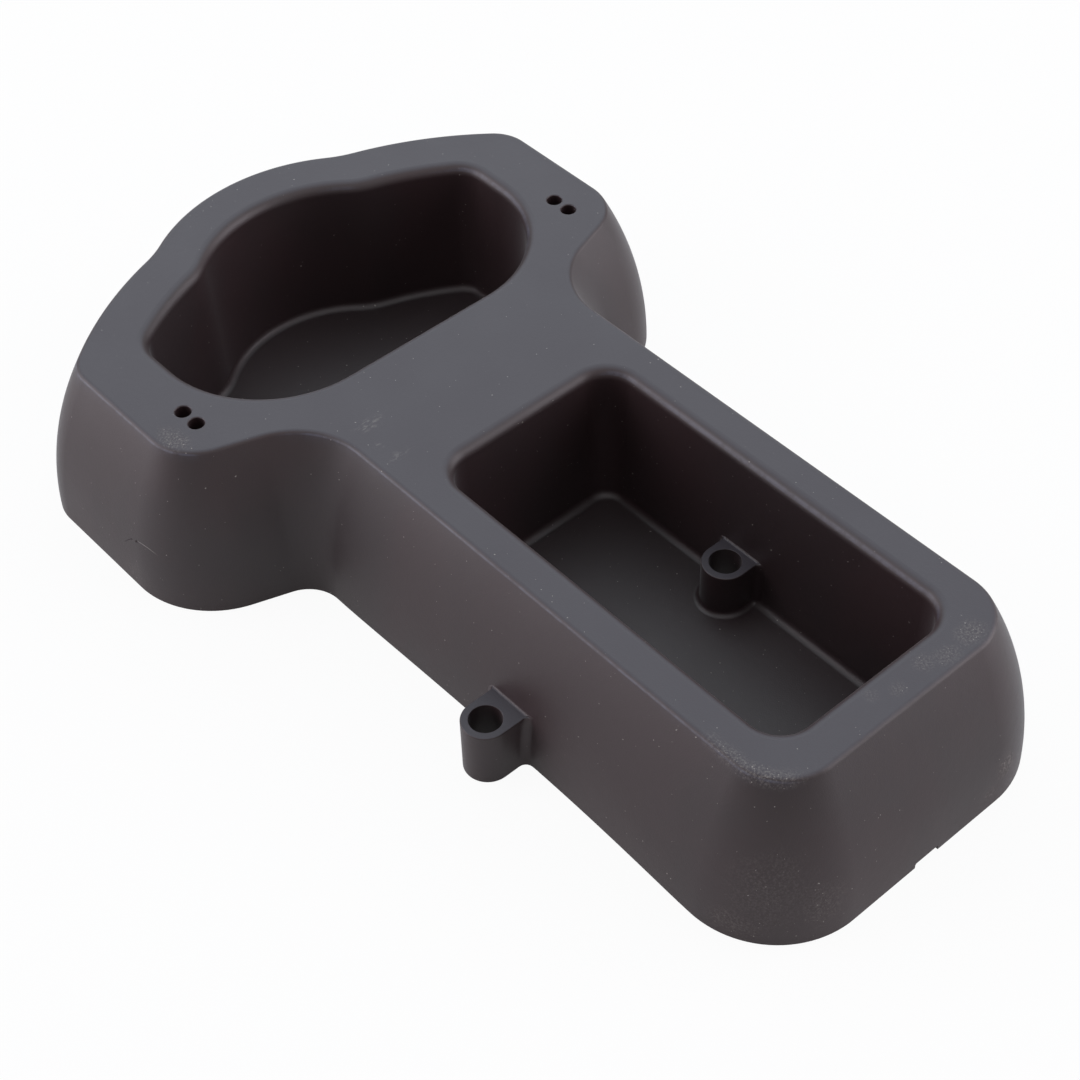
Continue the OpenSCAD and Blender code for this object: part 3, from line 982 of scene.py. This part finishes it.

# %% [markdown]
# ## Painted highlight and wear
# A painted highlight, a thin pale line, runs along the near edge of the deck, on the
# rounding that faces the near side. The line is found from the tilt of the surface, so it
# needs no image. Short brushed marks lie on the deck by the neck, and the scratch has a
# pale lip.

# %% Painted highlight along the near edge
# painted highlight: a thin pale line on the rounding of the near deck edge, picked by its tilt and side
edge_highlight_strength = 0.4
high_up = ramp(plastic, upward, height - 6, height - 1)
lower_side = ramp(plastic, tilt.outputs["Z"], 0.42, 0.52)
upper_side = ramp(plastic, tilt.outputs["Z"], 0.66, 0.82)
highlight_band = figure(plastic, "MULTIPLY", lower_side, figure(plastic, "SUBTRACT", 1.0, upper_side))
near_side = ramp(plastic, tilt.outputs["Y"], -0.35, -0.62)
highlight_band = figure(plastic, "MULTIPLY", figure(plastic, "MULTIPLY", highlight_band, near_side), high_up)
highlight_break = ramp(plastic, noise(plastic, place, 0.22, 4.0, 0.65), 0.35, 0.62, 0.35, 1.0)
painted_edge_highlight = figure(plastic, "MULTIPLY", figure(plastic, "MULTIPLY", highlight_band, highlight_break), edge_highlight_strength)
highlight_and_wear_colour = blend_in(dusty_colour, edge_highlight_tone, painted_edge_highlight)

# %% Brushed marks by the neck
brushed_places = [
    ((-36.2, -47.6, 70), (4.2, 9, 3), 1.0),
    ((-24.4, -52.3, 70), (2.5, 2.5, 3), 0.7),
    ((-15.5, -49.8, 70), (3.2, 7, 3), 0.6),
]
brush_strength = 0.17
brushed = patches(brushed_places)
short_strokes = vector_sum(plastic, "MULTIPLY", place, (0.9, 0.35, 0.6))
bristles = ramp(plastic, noise(plastic, short_strokes, 1.0, 3.0, 0.6), 0.46, 0.66)
brush_mask = figure(plastic, "MULTIPLY", figure(plastic, "MULTIPLY", bristles, brushed), brush_strength)
highlight_and_wear_colour = blend_in(highlight_and_wear_colour, dust_tone, brush_mask)
print("brushed places:", len(brushed_places))

# %% Pale lip of the scratch
lip_w, lip_strength = 0.25, 0.45
from_scratch = vector_sum(plastic, "SUBTRACT", place, (scratch_x, 0, scratch_z))
level_only = vector_sum(plastic, "MULTIPLY", from_scratch, (1, 0, 1))
lip_r = scratch_r + scratch_half_w
from_centre = vector_sum(plastic, "LENGTH", level_only)
off_arc = figure(plastic, "ABSOLUTE", figure(plastic, "SUBTRACT", from_centre, lip_r))
on_lip = figure(plastic, "SUBTRACT", 1.0, ramp(plastic, off_arc, 0.0, lip_w))
near_dent = use(soft_patch, Place=place, Middle=(-81, -128, 25), Reach=(7, 6, 4))
lip_mask = figure(plastic, "MULTIPLY", on_lip, near_dent.outputs["Mask"])
lip_mask = figure(plastic, "MULTIPLY", lip_mask, lip_strength)
highlight_and_wear_colour = blend_in(highlight_and_wear_colour, dust_tone, lip_mask)
feed(plastic, surface.inputs["Base Color"], highlight_and_wear_colour)

# %% Sheen and grain height
sheen_drift = noise(plastic, place, 0.03, 2.0)
least_dull = 0.42
dullness = figure(plastic, "ADD", figure(plastic, "MULTIPLY", sheen_drift, 0.12), least_dull)
dullness = figure(plastic, "ADD", dullness, figure(plastic, "MULTIPLY", dustiness, 0.12))
feed(plastic, surface.inputs["Roughness"], dullness)
relief = figure(plastic, "ADD", grain.outputs["Height"], figure(plastic, "MULTIPLY", specks, 0.25))
bump = plastic.nodes.new("ShaderNodeBump")
bump.inputs["Strength"].default_value = 0.35
bump.inputs["Distance"].default_value = 0.00025
feed(plastic, bump.inputs["Height"], relief)
feed(plastic, surface.inputs["Normal"], bump.outputs["Normal"])

moulding.data.materials.clear()
moulding.data.materials.append(charcoal)
print("charcoal plastic:", len(plastic.nodes), "nodes")

# %% [markdown]
# ## Into the frame
# The moulding rides on the frame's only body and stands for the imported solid, which
# stays behind it for the physics.

# %% Ride and replace
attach(moulding, "root")
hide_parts("riser_base")
print(moulding.name, "rides on the root body and stands for riser_base")

# %% [markdown]
# ## Floor, light and camera
# The photograph has a plain white ground and very soft light: a large cool light behind
# the part shines on the deck, a weaker one overhead fills the rolled edges, and both
# sides are open to white. The floor is pale and keeps a soft shadow. For the camera it
# is mostly white of its own, so the ground goes white without more light on the part.
# The lamps, a low panel on each side and an even surround light the part at the level
# where a colour looks about as it is written.

# %% White ground
def seen_directly(tree, in_gloss=1.0):
    """1 for what the camera or a glass sees, in_gloss for a gloss, 0 for what only lights."""
    path = tree.nodes.new("ShaderNodeLightPath")
    gloss = figure(tree, "MULTIPLY", path.outputs["Is Glossy Ray"], in_gloss)
    direct = figure(tree, "ADD", path.outputs["Is Camera Ray"], gloss)
    return figure(tree, "ADD", direct, path.outputs["Is Transmission Ray"], clamp=True)


floor_half = 6.0
floor_mesh = bpy.data.meshes.new("floor")
corners = [(x * floor_half, y * floor_half, 0) for x, y in ((-1, -1), (1, -1), (1, 1), (-1, 1))]
floor_mesh.from_pydata(corners, [], [(0, 1, 2, 3)])
floor = bpy.data.objects.new("floor", floor_mesh)
bpy.context.scene.collection.objects.link(floor)
floor.location.z = -0.0002

own_white, white_in_gloss = 0.94, 0.3
ground = bpy.data.materials.new("pale_ground")
ground.use_nodes = True
ground_tree = ground.node_tree
ground_tree.nodes.clear()
pale = ground_tree.nodes.new("ShaderNodeBsdfDiffuse")
pale.inputs["Color"].default_value = seen(0.88, 0.88, 0.88)
white = ground_tree.nodes.new("ShaderNodeEmission")
white.inputs["Strength"].default_value = 1.0
mixed = ground_tree.nodes.new("ShaderNodeMixShader")
white_share = figure(ground_tree, "MULTIPLY", seen_directly(ground_tree, white_in_gloss), own_white)
feed(ground_tree, mixed.inputs["Fac"], white_share)
ground_tree.links.new(pale.outputs["BSDF"], mixed.inputs[1])
ground_tree.links.new(white.outputs["Emission"], mixed.inputs[2])
ground_end = ground_tree.nodes.new("ShaderNodeOutputMaterial")
ground_tree.links.new(mixed.outputs["Shader"], ground_end.inputs["Surface"])
floor_mesh.materials.append(ground)
print("floor:", 2 * floor_half, "m across")

# %% Even surround
surround_level, surround_in_gloss = 0.17, 0.43
world = bpy.data.worlds.new("surround")
world.use_nodes = True
bpy.context.scene.world = world
sky = world.node_tree
background = sky.nodes["Background"]
background.inputs["Color"].default_value = (1.0, 0.97, 0.98, 1.0)
strength = figure(sky, "MULTIPLY", seen_directly(sky, surround_in_gloss), 1.0 - surround_level)
feed(sky, background.inputs["Strength"], figure(sky, "ADD", strength, surround_level))
print("level of the surround on the part:", surround_level)

# %% Lamps
def soft_lamp(name, place_m, target, side, watts, tint):
    """Large square lamp turned towards a target."""
    light = bpy.data.lights.new(name, "AREA")
    light.shape = "SQUARE"
    light.size = side
    light.energy = watts
    light.color = tint
    lamp = bpy.data.objects.new(name, light)
    bpy.context.scene.collection.objects.link(lamp)
    lamp.location = place_m
    away = Vector(place_m) - Vector(target)
    lamp.rotation_euler = away.to_track_quat("Z", "Y").to_euler()
    return lamp


# Each lamp: name, place, target, side in metres, watts and tint
soft_lamps = [
    ("back_window", (-1.2, 0.97, 1.95), (0, 0, 0), 3.4, 49, (0.81, 0.92, 1.0)),
    ("overhead", (0.75, -0.6, 2.1), (0, 0, 0), 2.2, 9, (0.93, 0.95, 1.0)),
    ("left_panel", (-1.17, -1.36, 0.75), (0, 0, 0.05), 1.6, 29, (0.98, 0.93, 1.0)),
    ("right_panel", (1.17, 1.36, 0.75), (0, 0, 0.05), 1.6, 29, (0.98, 0.93, 1.0)),
]
for lamp_values in soft_lamps:
    soft_lamp(*lamp_values)
print("soft lamps:", len(soft_lamps))

# %% Camera
from math import degrees

image_px = 1080
focal_px = 2199.16
middle_px = (560.28, 510.26)
camera_place = (0.46985, -0.3886, 0.6452)
heading, down_tilt, roll = radians(-49.27), radians(45.88), radians(1.57)

forward = Vector((sin(heading) * cos(down_tilt), cos(heading) * cos(down_tilt), -sin(down_tilt)))
level_right = Vector((cos(heading), -sin(heading), 0))
level_down = forward.cross(level_right)
right = level_right * cos(roll) + level_down * sin(roll)
down = level_down * cos(roll) - level_right * sin(roll)
lens = bpy.data.cameras.new("camera")
lens.sensor_width = 36
lens.lens = focal_px / image_px * lens.sensor_width
lens.shift_x = (image_px / 2 - middle_px[0]) / image_px
lens.shift_y = (middle_px[1] - image_px / 2) / image_px
camera = bpy.data.objects.new("camera", lens)
bpy.context.scene.collection.objects.link(camera)
turned_axes = Matrix((right, -down, -forward)).transposed().to_4x4()
camera.matrix_world = Matrix.Translation(camera_place) @ turned_axes
bpy.context.scene.camera = camera
bpy.context.scene.view_settings.view_transform = "Standard"
print("camera looks down by", round(degrees(down_tilt), 1), "degrees")
